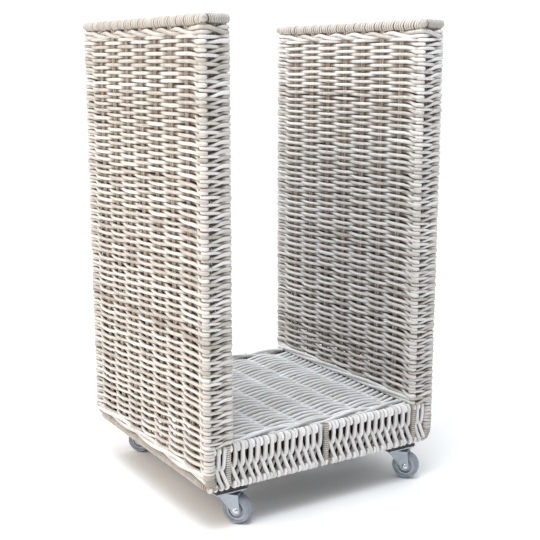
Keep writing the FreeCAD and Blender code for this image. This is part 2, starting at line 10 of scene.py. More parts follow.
import bpy
import numpy as np
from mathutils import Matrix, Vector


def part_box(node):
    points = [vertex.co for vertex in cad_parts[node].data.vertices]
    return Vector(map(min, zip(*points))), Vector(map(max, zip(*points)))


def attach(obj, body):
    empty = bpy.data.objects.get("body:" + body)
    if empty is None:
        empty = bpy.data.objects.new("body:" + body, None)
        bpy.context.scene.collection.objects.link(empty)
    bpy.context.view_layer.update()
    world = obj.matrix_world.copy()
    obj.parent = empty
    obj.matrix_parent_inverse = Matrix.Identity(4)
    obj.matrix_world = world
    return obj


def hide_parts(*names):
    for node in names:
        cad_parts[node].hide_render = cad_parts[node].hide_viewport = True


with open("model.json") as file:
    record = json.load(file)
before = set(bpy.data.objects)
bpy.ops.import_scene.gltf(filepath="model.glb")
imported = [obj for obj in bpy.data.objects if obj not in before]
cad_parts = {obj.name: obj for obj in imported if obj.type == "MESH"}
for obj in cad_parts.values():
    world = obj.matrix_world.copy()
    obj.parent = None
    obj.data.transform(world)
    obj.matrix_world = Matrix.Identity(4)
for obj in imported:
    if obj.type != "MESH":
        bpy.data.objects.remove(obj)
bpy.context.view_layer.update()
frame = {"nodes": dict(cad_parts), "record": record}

MM = 0.001
UP = (0, 0, 1)
ACROSS = (1, 0, 0)
rng = np.random.default_rng(20)


# Sizes taken from the solids
def solid_box(node):
    """Lowest and highest corner of a solid, to a tenth of a millimetre."""
    return [np.round(np.array(corner) / MM, 1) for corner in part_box(node)]


outer_low, outer_high = solid_box("right_panel_outer_weave")
inner_low, inner_high = solid_box("right_panel_inner_weave")
end_low, end_high = solid_box("right_panel_back_weave")
deck_low, deck_high = solid_box("deck_weave")
rib_low, rib_high = solid_box("deck_ribs")

HALF_DEPTH = outer_high[1]
OUTER_X = (outer_low[0] + outer_high[0]) / 2
INNER_X = (inner_low[0] + inner_high[0]) / 2
INNER_FACE = inner_low[0]
PANEL_X = (OUTER_X + INNER_X) / 2
WALL_SPREAD = (OUTER_X - INNER_X) / 2
PANELS = {"left": -PANEL_X, "right": PANEL_X}
END_Y = (end_low[1] + end_high[1]) / 2
END_WIDTH = 2 * WALL_SPREAD
DECK_UNDER = deck_low[2]
DECK_TOP = deck_high[2]
DECK_MID = (DECK_UNDER + DECK_TOP) / 2
TOP = solid_box("right_top_end_rails")[1][2]

# As in the photograph, the base poles lie a little lower and the top poles are thinner than their solids
BASE_DROP = 3.0
SIDE_BOTTOM = outer_low[2] - BASE_DROP
BOTTOM_RAIL_RADIUS = 8.0
BOTTOM_RAIL_Z = SIDE_BOTTOM - BOTTOM_RAIL_RADIUS
TOP_RAIL_RADIUS = 9.5
END_RAIL_RADIUS = 8.0
TOP_UNDER = TOP - 2 * TOP_RAIL_RADIUS
TOP_RAIL_Z = TOP - TOP_RAIL_RADIUS

# Stakes and posts of the panels
STAKE_PAIRS = 7
STAKE_PITCH = 2 * END_Y / (STAKE_PAIRS + 1)
PAIR_SPACING = 6.4
STAKE_RADIUS = 2.5
POST_RADIUS = 5.0
END_STAKES = (-9.6, -3.2, 3.2, 9.6)
END_STAKE_INSET = 3.0
STAKE_FOOT = SIDE_BOTTOM + 2.0
END_STAKE_FOOT = DECK_UNDER + 6.0
CANE_REACH = 3.0
CANE_STEPS = 26

# Strands swept along paths: the tips' reach past the end and their thickness, in radii
TIP_STEPS = ((0.55, 0.82), (0.9, 0.35))
CELL_MARGIN = 0.05


def unit(vectors):
    """Vectors scaled to length one."""
    return vectors / np.maximum(np.linalg.norm(vectors, axis=-1, keepdims=True), 1e-9)


def ease(share):
    """Smooth step from 0 to 1."""
    return 0.5 - 0.5 * np.cos(pi * np.clip(share, 0, 1))


def waves(strands, steps, count, size):
    """Smooth random wander along each of several strands."""
    t = np.linspace(0, tau, steps, endpoint=False)
    wander = np.zeros((strands, steps))
    for number in range(1, count + 1):
        phase = rng.uniform(0, tau, (strands, 1))
        wander += rng.normal(0, 1, (strands, 1)) * np.sin(number * t + phase)
    return wander * size / math.sqrt(count)


def through(marks, values, places):
    """Smooth curve through values at marks, read at several places."""
    marks, values = np.asarray(marks, float), np.asarray(values, float)
    slope = np.gradient(values, marks)
    cell = np.clip(np.searchsorted(marks, places, side="right") - 1, 0, len(marks) - 2)
    width = np.diff(marks)[cell]
    share = (places - marks[cell]) / width
    first, second = values[cell], values[cell + 1]
    rise, fall = slope[cell] * width, slope[cell + 1] * width
    bend = 3 * (second - first) - 2 * rise - fall
    twist = 2 * (first - second) + rise + fall
    return first + share * (rise + share * (bend + share * twist))


def points_at(x, y, z):
    """Points from coordinates that are single numbers or arrays."""
    return np.stack(np.broadcast_arrays(x, y, z), axis=-1)


class Weave:
    """Swept strands that become one mesh."""

    def __init__(self):
        self.points = []
        self.quads = []
        self.grain = []
        self.depth = []
        self.cells = []
        self.used = 0
        self.strips = 0

    def add(self, paths, radius, up, closed=False, sides=8, flat=1.0, strips=1, depth=0.0):
        """Sweeps an oval section along paths of shape (strands, steps, 3), or along one of shape (steps, 3).

        flat is the section's height over its width, depth says how far inside the wall each step lies, and
        strips is the number of rows that a strand takes up in the UV map.
        """
        paths = paths.reshape(-1, *paths.shape[-2:])
        radius = np.broadcast_to(radius, paths.shape[:2])
        depth = np.broadcast_to(depth, paths.shape[:2])
        up = np.broadcast_to(up, paths.shape)
        if closed:
            along = np.roll(paths, -1, axis=1) - np.roll(paths, 1, axis=1)
        else:
            paths, radius = rounded_tips(paths, radius)
            up, depth = held(up), held(depth)
            along = np.gradient(paths, axis=1)
        strands, steps = paths.shape[:2]
        along = unit(along)
        side = unit(np.cross(along, up))
        lift = np.cross(side, along)
        turn = np.arange(sides) * tau / sides
        ring = side[..., None, :] * np.cos(turn)[:, None]
        ring = ring + lift[..., None, :] * (flat * np.sin(turn))[:, None]
        points = paths[..., None, :] + radius[..., None, None] * ring

        moves = np.diff(paths, axis=1, prepend=paths[:, :1])
        run = np.cumsum(np.linalg.norm(moves, axis=-1), axis=1) * MM
        tone = rng.uniform(0, 1, strands)
        grain = points_at(run[..., None], np.arange(sides) / sides, tone[:, None, None])

        self.skin(strands, steps, sides, strips, closed)
        self.points.append(points.reshape(-1, 3))
        self.grain.append(grain.reshape(-1, 3))
        self.depth.append(np.repeat(depth.reshape(-1), sides))
        self.used += strands * steps * sides
        self.strips += strands * strips

    def skin(self, strands, steps, sides, strips, closed):
        """Faces and UV cells of the strands whose points come next."""
        strand = np.arange(strands)[:, None, None]
        step = np.arange(steps if closed else steps - 1)[:, None]
        spoke = np.arange(sides)
        after = (step + 1) % steps
        beside = (spoke + 1) % sides

        def index(at_step, at_spoke):
            return self.used + (strand * steps + at_step) * sides + at_spoke

        quads = np.stack(
            [index(step, spoke), index(step, beside), index(after, beside), index(after, spoke)], axis=-1
        )
        self.quads.append(quads.reshape(-1, 4))
        per_strip = math.ceil(len(step) / strips)
        strip = self.strips + strand * strips + step // per_strip + CELL_MARGIN
        place = (step % per_strip) / per_strip
        ahead = place + 1 / per_strip
        low, high = (strip + (1 - 2 * CELL_MARGIN) * (at / sides) for at in (spoke, spoke + 1))
        corners = [(place, low), (place, high), (ahead, high), (ahead, low)]
        cells = [np.stack(np.broadcast_arrays(u, v), axis=-1) for u, v in corners]
        self.cells.append(np.stack(cells, axis=-2).reshape(-1, 4, 2))
        if not closed:
            self.cap(strands, steps, sides, 0, reverse=True)
            self.cap(strands, steps, sides, steps - 1, reverse=False)

    def cap(self, strands, steps, sides, at_step, reverse):
        """Closes the ends of open strands."""
        base = self.used + (np.arange(strands) * steps + at_step)[:, None] * sides
        for spoke in range(sides // 2 - 1):
            quad = np.array([spoke, spoke + 1, sides - 2 - spoke, sides - 1 - spoke])
            self.quads.append(base + (quad[::-1] if reverse else quad))
            self.cells.append(np.full((strands, 4, 2), (0.5, self.strips + 0.5)))

    def build(self, name, material, slot, replaced=()):
        """Makes the mesh, sets it on the basket and hides the CAD nodes that it stands for."""
        points = np.concatenate(self.points) * MM
        cells = np.concatenate(self.cells)
        cells[..., 1] /= self.strips
        mesh = bpy.data.meshes.new(name)
        mesh.from_pydata(points.tolist(), [], np.concatenate(self.quads).tolist())
        mesh.shade_smooth()
        layer = mesh.uv_layers.new(name="OFBake")
        layer.data.foreach_set("uv", cells.astype(np.float32).ravel())
        grain = mesh.attributes.new("strand", "FLOAT_VECTOR", "POINT")
        grain.data.foreach_set("vector", np.concatenate(self.grain).astype(np.float32).ravel())
        depth = mesh.attributes.new("depth", "FLOAT", "POINT")
        depth.data.foreach_set("value", np.concatenate(self.depth).astype(np.float32))
        place_piece(name, mesh, material, replaced)


def place_piece(name, mesh, material, replaced=()):
    """Puts a mesh into the scene as a piece of the basket."""
    mesh.materials.append(material)
    piece = bpy.data.objects.new(name, mesh)
    bpy.context.scene.collection.objects.link(piece)
    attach(piece, "basket")
    if replaced:
        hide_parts(*replaced)


def held(values):
    """Values along strands, with the first and the last kept for two more steps."""
    return np.concatenate([values[:, :1]] * 2 + [values] + [values[:, -1:]] * 2, axis=1)


def rounded_tips(paths, radius):
    """Open paths lengthened by two shrinking steps at each end."""
    start = unit(paths[:, 0] - paths[:, 1])[:, None]
    end = unit(paths[:, -1] - paths[:, -2])[:, None]
    first, last = radius[:, :1], radius[:, -1:]
    before = [paths[:, :1] + start * first[..., None] * far for far, _ in reversed(TIP_STEPS)]
    after = [paths[:, -1:] + end * last[..., None] * far for far, _ in TIP_STEPS]
    growing = [first * share for _, share in reversed(TIP_STEPS)]
    shrinking = [last * share for _, share in TIP_STEPS]
    paths = np.concatenate([*before, paths, *after], axis=1)
    return paths, np.concatenate([*growing, radius, *shrinking], axis=1)


# Nodes of the materials
def node_tree(name):
    """A new material, its node tree and its shader."""
    material = bpy.data.materials.new(name)
    material.use_nodes = True
    tree = material.node_tree
    return material, tree, tree.nodes["Principled BSDF"]


def add_node(tree, kind, inputs=None, **settings):
    """A node with its settings, its unlinked inputs set and its linked inputs joined."""
    node = tree.nodes.new(kind)
    for key, value in settings.items():
        setattr(node, key, value)
    for key, value in (inputs or {}).items():
        if isinstance(value, bpy.types.NodeSocket):
            tree.links.new(value, node.inputs[key])
        else:
            node.inputs[key].default_value = value
    return node


def ramp(tree, factor, stops):
    """Colour ramp through (place, colour) stops."""
    node = add_node(tree, "ShaderNodeValToRGB", {"Fac": factor})
    elements = node.color_ramp.elements
    while len(elements) < len(stops):
        elements.new(0.5)
    for element, (place, colour) in zip(elements, stops):
        element.position = place
        element.color = (*colour, 1)
    return node.outputs["Color"]


def tint(tree, factor, first, second, blend="MIX"):
    """Colour mix of two sockets or colours."""
    node = add_node(tree, "ShaderNodeMix", data_type="RGBA", blend_type=blend)
    for key, value in (("Factor", factor), ("A", first), ("B", second)):
        socket = [s for s in node.inputs if s.name == key and s.enabled][0]
        if isinstance(value, bpy.types.NodeSocket):
            tree.links.new(value, socket)
        else:
            socket.default_value = value if key == "Factor" else (*value, 1)
    return [s for s in node.outputs if s.enabled][0]


def sums(tree, operation, first, second=0.0):
    """Math node on one or two numbers or sockets."""
    return add_node(tree, "ShaderNodeMath", {0: first, 1: second}, operation=operation).outputs[0]


def spread(tree, value, low, high, to_low, to_high):
    """Map range with clamping."""
    inputs = {"Value": value, "From Min": low, "From Max": high, "To Min": to_low, "To Max": to_high}
    return add_node(tree, "ShaderNodeMapRange", inputs).outputs[0]


def noise(tree, vector, scale, detail):
    """Strength of a noise texture."""
    inputs = {"Vector": vector, "Scale": scale, "Detail": detail}
    return add_node(tree, "ShaderNodeTexNoise", inputs).outputs["Fac"]


def strand_noise(tree, parts, along, around, seed, detail):
    """Noise laid out along a strand and round it, different on each strand."""
    scales = {"X": along, "Y": around, "Z": seed}
    inputs = {axis: sums(tree, "MULTIPLY", parts[axis], scale) for axis, scale in scales.items()}
    vector = add_node(tree, "ShaderNodeCombineXYZ", inputs).outputs[0]
    return noise(tree, vector, 1.0, detail)


def join_shader(tree, shader, colour, roughness, height, strength, depth):
    """Gives a shader its colour, roughness and relief."""
    bump = add_node(tree, "ShaderNodeBump", {"Height": height, "Strength": strength, "Distance": depth})
    for key, socket in (("Base Color", colour), ("Roughness", roughness), ("Normal", bump.outputs[0])):
        tree.links.new(socket, shader.inputs[key])


# Rattan: a strand's own tone and its drift, fibres, wash, flecks, and painted shade inside the walls, on the
# flanks, in the seams and towards the foot
TONE_SEED = 917.0
OWN_SHARE = 0.42
TONE_RANGE = (0.22, 0.78)
FIBRE_SHARE = 0.22
FIBRE_STOPS = [(0.3, (0.30, 0.25, 0.19)), (0.62, (1, 1, 1))]
WASH_RANGE = (0.42, 0.7)
FLECK_RANGE = (0.70, 0.78)
FLECK_SHARE = 0.45
FLECK_TONE = (0.27, 0.20, 0.13)
# Painted shade with raw cane: the inside of a wall goes towards raw cane, which the wash missed, darkened
# further as shade; flanks and seams get painted shade
INWARD_RANGE = (0.0, 0.7)
DEPTH_RANGE = (0.0, 0.9)
RAW_CANE_AND_SHADE = (0.24, 0.18, 0.125)
GROOVE_SHADE_RANGE = (0.45, 0.95)
GROOVE_SHADE_TONE = (0.20, 0.15, 0.10)
SEAM_SHADE_RANGE = (0.6, 1.0)
SEAM_SHADE_TONE = (0.21, 0.175, 0.14)
# Heights between which a panel is painted darker towards its foot, as shade
FOOT_SHADE_HEIGHTS = (0.15, 0.80)
GLOSS_RANGE = (0.3, 0.7)
CANE_ROUGHNESS = (0.48, 0.70)
WARM_WASH = (0.80, 0.77, 0.72)


def cane_tone(tree, parts, tones, change):
    """Colour of a strand: its own tone, which drifts along it."""
    seed = sums(tree, "MULTIPLY", parts["Z"], TONE_SEED)
    own = add_node(tree, "ShaderNodeTexWhiteNoise", {"W": seed}, noise_dimensions="1D").outputs["Value"]
    drift = strand_noise(tree, parts, along=change, around=0.4, seed=211.0, detail=2.0)
    own = sums(tree, "MULTIPLY", own, OWN_SHARE)
    drift = sums(tree, "MULTIPLY", drift, 1 - OWN_SHARE)
    return ramp(tree, spread(tree, sums(tree, "ADD", own, drift), *TONE_RANGE, 0.0, 1.0), tones)


def shaded(tree, parts, colour, bare_and_shade, groove_shade, seam_shade):
    """Colour with raw cane and painted shade inside a wall, and painted shade on the flanks and in the seams.
    """
    turn = sums(tree, "MULTIPLY", parts["Y"], tau)
    inward = sums(tree, "COSINE", turn)
    depth = add_node(tree, "ShaderNodeAttribute", attribute_name="depth").outputs["Fac"]
    # Painted shade inside a wall, together with the raw cane that the wash missed
    faces_in = spread(tree, inward, *INWARD_RANGE, 0.0, bare_and_shade)
    lies_in = spread(tree, depth, *DEPTH_RANGE, 0.0, bare_and_shade)
    colour = tint(tree, sums(tree, "MAXIMUM", faces_in, lies_in), colour, RAW_CANE_AND_SHADE)
    # Painted shade on the flanks, where strands or wraps meet
    flank = sums(tree, "ABSOLUTE", inward)
    colour = tint(tree, spread(tree, flank, *GROOVE_SHADE_RANGE, 0.0, groove_shade), colour, GROOVE_SHADE_TONE)
    # Painted shade on the top and the underside, where strands lie against each other
    contact = sums(tree, "ABSOLUTE", sums(tree, "SINE", turn))
    return tint(tree, spread(tree, contact, *SEAM_SHADE_RANGE, 0.0, seam_shade), colour, SEAM_SHADE_TONE)


def rattan(
    name, tones, wash=WARM_WASH, wash_share=0.35, change=3.2, bare_and_shade=0.0, groove_shade=0.0, seam_shade=0.0, foot_shade=None
):
    """Whitewashed cane: strands of different tones that change along them, fibres, wash and dark flecks.

    bare_and_shade takes the cane inside a wall towards raw cane, which the wash missed, and adds painted
    shade in the wall's recesses. groove_shade is how dark the flanks are painted, as shade where wound peel
    meets peel, and seam_shade is how dark the top and the underside are painted, as shade where strands lie
    against each other. foot_shade is painted shade that darkens a panel from its top towards its foot.
    """
    material, tree, shader = node_tree(name)
    strand = add_node(tree, "ShaderNodeAttribute", attribute_name="strand")
    parts = add_node(tree, "ShaderNodeSeparateXYZ", {0: strand.outputs["Vector"]}).outputs
    place = add_node(tree, "ShaderNodeTexCoord").outputs["Object"]
    fibre = strand_noise(tree, parts, along=26.0, around=9.0, seed=67.0, detail=4.0)
    patch = noise(tree, place, scale=55.0, detail=4.0)
    fleck = strand_noise(tree, parts, along=75.0, around=5.0, seed=149.0, detail=1.0)

    colour = cane_tone(tree, parts, tones, change)
    colour = tint(tree, FIBRE_SHARE, colour, ramp(tree, fibre, FIBRE_STOPS), "MULTIPLY")
    colour = tint(tree, spread(tree, patch, *WASH_RANGE, 0.0, wash_share), colour, wash)
    colour = tint(tree, spread(tree, fleck, *FLECK_RANGE, 0.0, FLECK_SHARE), colour, FLECK_TONE)
    colour = shaded(tree, parts, colour, bare_and_shade, groove_shade, seam_shade)
    # Painted shade: darker towards the foot of the panel
    if foot_shade:
        height = add_node(tree, "ShaderNodeSeparateXYZ", {0: place}).outputs["Z"]
        shade_to_foot = ramp(tree, spread(tree, height, *FOOT_SHADE_HEIGHTS, 0.0, 1.0), foot_shade)
        colour = tint(tree, 1.0, colour, shade_to_foot, "MULTIPLY")

    shader.inputs["Specular IOR Level"].default_value = 0.3
    roughness = spread(tree, patch, *GLOSS_RANGE, *CANE_ROUGHNESS)
    join_shader(tree, shader, colour, roughness, fibre, strength=0.35, depth=0.0005)
    return material


# Other materials: two tones that one noise mixes
MOTTLE_STOPS = (0.32, 0.68)
ROUGHNESS_SPREAD = 0.08


def mottled(name, first, second, scale, roughness, metallic=0.0, stretch=(1, 1, 1), bump=0.1):
    """Material whose colour, roughness and surface vary with one noise."""
    material, tree, shader = node_tree(name)
    place = add_node(tree, "ShaderNodeTexCoord").outputs["Object"]
    place = add_node(tree, "ShaderNodeMapping", {"Vector": place, "Scale": stretch}).outputs[0]
    grain = noise(tree, place, scale, detail=5.0)
    colour = ramp(tree, grain, list(zip(MOTTLE_STOPS, (first, second))))
    dull = spread(tree, grain, *GLOSS_RANGE, roughness - ROUGHNESS_SPREAD, roughness + ROUGHNESS_SPREAD)
    shader.inputs["Metallic"].default_value = metallic
    join_shader(tree, shader, colour, dull, grain, strength=bump, depth=0.0006)
    return material


LEFT_TONES = [
    (0.0, (0.41, 0.37, 0.32)), (0.3, (0.575, 0.545, 0.505)),
    (0.6, (0.705, 0.685, 0.655)), (1.0, (0.89, 0.885, 0.87)),
]
# Painted light: the right panel's weave is a whiter, cooler copy of the left one's, offsetting the warm key
# light on its inner face
RIGHT_LIGHTENED_TONES = [
    (0.0, (0.46, 0.43, 0.39)), (0.3, (0.65, 0.63, 0.61)),
    (0.6, (0.79, 0.785, 0.775)), (1.0, (0.95, 0.95, 0.945)),
]
# Painted shade that darkens the right panel towards its foot
RIGHT_FOOT_SHADE = [(0.0, (0.81, 0.785, 0.755)), (0.55, (0.90, 0.89, 0.87)), (1.0, (1.0, 1.0, 1.0))]
DECK_TONES = [
    (0.0, (0.63, 0.62, 0.605)), (0.4, (0.79, 0.79, 0.785)),
    (0.7, (0.875, 0.88, 0.885)), (1.0, (0.94, 0.945, 0.95)),
]
APRON_TONES = [
    (0.0, (0.70, 0.68, 0.665)), (0.4, (0.86, 0.85, 0.85)),
    (0.7, (0.92, 0.915, 0.915)), (1.0, (0.95, 0.95, 0.95)),
]
WRAP_TONES = [(0.0, (0.49, 0.455, 0.41)), (0.5, (0.645, 0.62, 0.585)), (1.0, (0.80, 0.785, 0.76))]
STAKE_TONES = [(0.0, (0.48, 0.40, 0.33)), (0.5, (0.61, 0.53, 0.455)), (1.0, (0.71, 0.645, 0.575))]
POST_TONES = [(0.0, (0.46, 0.44, 0.415)), (0.5, (0.59, 0.57, 0.545)), (1.0, (0.72, 0.705, 0.685))]
panel_looks = {
    "left": rattan("rattan_weave", LEFT_TONES, wash=(0.85, 0.835, 0.81), bare_and_shade=0.8, seam_shade=0.48),
    # Painted light: whiter, cooler tones and wash than the left panel's, for the same cane
    "right": rattan(
        "rattan_weave_right_lightened", RIGHT_LIGHTENED_TONES, wash=(0.92, 0.925, 0.93), wash_share=0.55, bare_and_shade=0.8, seam_shade=0.42,
        foot_shade=RIGHT_FOOT_SHADE,
    ),
}
deck_look = rattan("rattan_deck", DECK_TONES, wash=(0.91, 0.91, 0.91), wash_share=0.5, groove_shade=0.2)
apron_look = rattan("rattan_apron", APRON_TONES, wash=(0.90, 0.885, 0.87), seam_shade=0.4)
wrap_look = rattan("peel_wrap", WRAP_TONES, wash_share=0.2, change=13.0, groove_shade=0.55)
stake_look = rattan("stake_cane", STAKE_TONES, wash_share=0.15)
post_look = rattan("post_peel", POST_TONES, wash_share=0.15, change=13.0, groove_shade=0.7)
# Painted shade: the cores are dark brown so that the slits between the wraps look shaded
shaded_core_look = mottled("pole_core", (0.20, 0.14, 0.09), (0.34, 0.26, 0.18), 60.0, 0.7)
end_look = mottled("pole_end", (0.42, 0.395, 0.36), (0.61, 0.595, 0.565), 260.0, 0.7, bump=0.4)
# Near-black boards: painted shade under the deck, where the gaps of the aprons show them
board_look = mottled(
    "dark_board", (0.022, 0.019, 0.017), (0.05, 0.044, 0.038), 14.0, 0.7, stretch=(1, 12, 12)
)
# Near-black blocks above the casters
block_look = mottled("near_black_block", (0.012, 0.012, 0.013), (0.03, 0.03, 0.032), 40.0, 0.6, stretch=(1, 8, 8))
zinc_look = mottled("zinc_plate", (0.34, 0.38, 0.43), (0.46, 0.505, 0.56), 90.0, 0.42, metallic=0.85)
steel_look = mottled(
    "bright_steel", (0.66, 0.68, 0.71), (0.80, 0.82, 0.84), 160.0, 0.18, metallic=1.0, bump=0.04
)
hub_look = mottled("hub_plastic", (0.37, 0.405, 0.455), (0.47, 0.505, 0.555), 70.0, 0.42)
tyre_look = mottled("tyre_rubber", (0.215, 0.245, 0.288), (0.305, 0.338, 0.385), 120.0, 0.5, bump=0.15)
floor_look = mottled("pale_floor", (0.94, 0.94, 0.94), (0.965, 0.965, 0.965), 3.0, 0.8, bump=0.02)

# Panels: rows woven round the stakes. Rows of one kind cap the left-hand post, rows of the other run past it.
ROW_PITCH = 6.3
ROW_RADIUS = 3.5
FIRST_ROW = DECK_TOP + 7.0
LAST_ROW = TOP_UNDER - 15.0
LOWEST_ROW = SIDE_BOTTOM + 13.0
WEAVE_SWING = 5.6
PAIR_HALF = 4.0
CORNER_STEPS = 4
POST_MARKS = np.array([0.0, 4.0, 9.0, 15.0, 25.0, 36.0])
FAR_POST_MARKS = 2 * END_Y - POST_MARKS[::-1]
POST_SWINGS = {"cap": [7.2, 7.0, 6.0, 3.8, -0.4, -3.4], "long": [6.8, 4.2, 0.4, -0.2, 2.4, 4.8]}
POST_DROPS = np.array([1.0, 0.99, 0.95, 0.8, 0.4, 0.08])
POST_LEVEL = 4.5
POST_REACH = 22.0
CAP_SWING = 7.0
CAP_GIRTH = 1.13

# Places, swings, heights and thickness across a narrow face, from the post that the row caps or runs past
END_PROFILES = {
    "cap": (
        [0, 4, 8, 13, 19, 26, END_WIDTH],
        [1.5, 3.4, 4.6, 5.4, 6.2, 7.0, 7.0],
        [-4.7, -4.3, -3.4, -1.9, 0.2, 2.4, 3.0],
        [0.7, 0.74, 0.76, 0.78, 0.86, 1.0, 1.12],
    ),
    "long": (
        [0, 8, 16, 21, 25, 28, 31, END_WIDTH],
        [6.8, 6.8, 6.4, 5.0, 2.8, 2.2, 3.8, 6.0],
        [0, -0.4, -0.9, -1.2, -0.6, 0.6, 2.0, 3.0],
        [0.9, 0.77, 0.74, 0.74, 0.74, 0.76, 0.82, 0.9],
    ),
}
END_PLACES = np.linspace(0, END_WIDTH, 15)
POST_RUN = POST_MARKS[-1]
POST_STEP = 4.5
POST_PLACES = np.arange(0, POST_RUN, POST_STEP)
WALL_PLACES = np.concatenate(
    [POST_PLACES, np.linspace(POST_RUN, 2 * END_Y - POST_RUN, 50), 2 * END_Y - POST_PLACES[::-1]]
)

# Thickness by swing: fuller on the inside of a wall than on its face
GIRTH_SWINGS = [-WEAVE_SWING, -2.5, 0.5, WEAVE_SWING]
GIRTHS = [1.52, 1.14, 0.94, 0.92]

# How far the rows' heights stray, and how they level out towards the top
LEVEL_WAVE = 0.8
LEVEL_WAVE_RUN = 11.0
LEVEL_WAVE_TOP = 780.0
LEVEL_SCATTER = 0.5
LEVEL_OUT_RUN = 45.0
LEVEL_OUT_LEAST = 0.3


def kind_at(parity, right_hand):
    """Whether a row caps the posts of a wall or runs past them."""
    return "cap" if (parity == 0) != right_hand else "long"


def end_profile(parity, back):
    """Course of a row across the front or the back face of a panel."""
    return END_PROFILES[kind_at(parity, back)]


def corner_level(parity, right_hand, back):
    """Height of a row at a post above its height along the walls."""
    level = POST_LEVEL
    if right_hand:
        level -= end_profile(parity, back)[2][-1]
    return level if back else -level


def wall_swings(kind):
    """Sideways swing along a long wall."""
    inward = -1 if kind == "cap" else 1
    marks, values = list(POST_MARKS), list(POST_SWINGS[kind])
    for pair in range(1, STAKE_PAIRS + 1):
        side = inward if pair % 2 else -inward
        marks += [pair * STAKE_PITCH - PAIR_HALF, pair * STAKE_PITCH + PAIR_HALF]
        values += [side * WEAVE_SWING] * 2
    marks += list(FAR_POST_MARKS)
    values += list(POST_SWINGS[kind][::-1])
    return through(marks, values, WALL_PLACES)


def panel_legs(centre_x):
    """Start, direction, outward direction and length of a panel's four walls, in turning order."""
    left, right = centre_x - WALL_SPREAD, centre_x + WALL_SPREAD
    return [
        ((left, -END_Y), (0, 1), (-1, 0), 2 * END_Y),
        ((left, END_Y), (1, 0), (0, 1), END_WIDTH),
        ((right, END_Y), (0, -1), (1, 0), 2 * END_Y),
        ((right, -END_Y), (-1, 0), (0, -1), END_WIDTH),
    ]


def long_leg(centre_x, outer):
    """The long wall of a panel that faces away from the bay, or the one that faces it."""
    return panel_legs(centre_x)[0 if (centre_x < 0) == outer else 2]


def wall_points(leg, places, swings):
    """Plan points along one wall at a sideways swing."""
    start, direction, outward, _ = leg
    return np.asarray(start) + np.outer(places, direction) + np.outer(swings, outward)


def corner_points(leg, swing, turn=pi / 2, steps=CORNER_STEPS):
    """Plan points round the post at the end of a wall."""
    start, direction, outward, length = leg
    centre = np.asarray(start) + np.asarray(direction) * length
    angle = np.arange(steps) / steps * turn
    return centre + np.outer(swing * np.cos(angle), outward) + np.outer(swing * np.sin(angle), direction)


def long_course(parity, right_hand):
    """Places, swings, heights and thickness of a row along a long wall, in turning order."""
    kind = kind_at(parity, right_hand)
    front, back = (corner_level(parity, right_hand, at_back) * POST_DROPS for at_back in (False, True))
    drops = np.interp(WALL_PLACES, [*POST_MARKS, *FAR_POST_MARKS], [*front, *back[::-1]])
    last = end_profile(parity, not right_hand)[3][-1]
    first = CAP_GIRTH if kind == "cap" else end_profile(parity, right_hand)[3][0]
    swings = wall_swings(kind)
    along = np.interp(swings, GIRTH_SWINGS, GIRTHS)
    share = np.clip(np.minimum(WALL_PLACES, WALL_PLACES[::-1]) / POST_REACH, 0, 1)
    at_post = np.where(WALL_PLACES < END_Y, first, last)
    return WALL_PLACES, swings, drops[::-1] if right_hand else drops, at_post + (along - at_post) * share


def end_course(parity, back):
    """Places, swings, heights and thickness of a row across a narrow face, in turning order."""
    marks, swings, drops, girths = end_profile(parity, back)
    from_post = END_WIDTH - END_PLACES
    heights = through(marks, drops, from_post) + corner_level(parity, back, back)
    return END_PLACES, through(marks, swings, from_post), heights, np.interp(from_post, marks, girths)


def turned(leg, before, after):
    """Plan points, swings, heights and thickness of a row round the post at the end of a wall."""
    swings, drops, girths = (
        np.linspace(this[-1], following[0], CORNER_STEPS, endpoint=False)
        for this, following in zip(before[1:], after[1:])
    )
    return corner_points(leg, swings), swings, drops, girths


def ring_row(centre_x, parity):
    """Plan points, swings, heights and thickness of a row, from its blunt end once round the panel."""
    legs = panel_legs(centre_x)
    courses = [long_course(parity, False), end_course(parity, True)]
    courses += [long_course(parity, True), end_course(parity, False)]
    if parity:
        legs, courses = legs[2:] + legs[:2], courses[2:] + courses[:2]
    blunt = (None, [CAP_SWING], [courses[0][2][0]], [CAP_GIRTH])
    parts = [[values[1:] for values in turned(legs[-1], blunt, courses[0])]]
    for number, (leg, course) in enumerate(zip(legs, courses)):
        places, swings, drops, girths = course
        last = number == len(legs) - 1
        stop = len(places) if last else -1
        plan = wall_points(leg, places[:stop], swings[:stop])
        parts.append((plan, swings[:stop], drops[:stop], girths[:stop]))
        if not last:
            parts.append(turned(leg, course, courses[number + 1]))
    return tuple(np.concatenate(values) for values in zip(*parts))


def add_rows(weave, plan, swings, drops, girths, levels):
    """Several rows on one plan line, each with its own small wander and thickness; the top rows lie level."""
    strands, steps = len(levels), len(plan)
    fade = np.clip((LAST_ROW - levels) / LEVEL_OUT_RUN + LEVEL_OUT_LEAST, 0, 1)[:, None]
    heights = levels[:, None] + drops * fade + waves(strands, steps, count=9, size=0.54)
    paths = points_at(*plan.T, heights)
    paths[..., :2] += waves(strands, steps, count=7, size=0.3)[..., None]
    radius = ROW_RADIUS * girths * rng.uniform(low=0.89, high=1.1, size=(strands, 1))
    radius = radius * (1 + waves(strands, steps, count=9, size=0.045))
    weave.add(paths, radius, UP, depth=-swings / WEAVE_SWING)


SIDE_WRAP = math.radians(215)
SIDE_WRAP_STEPS = 9


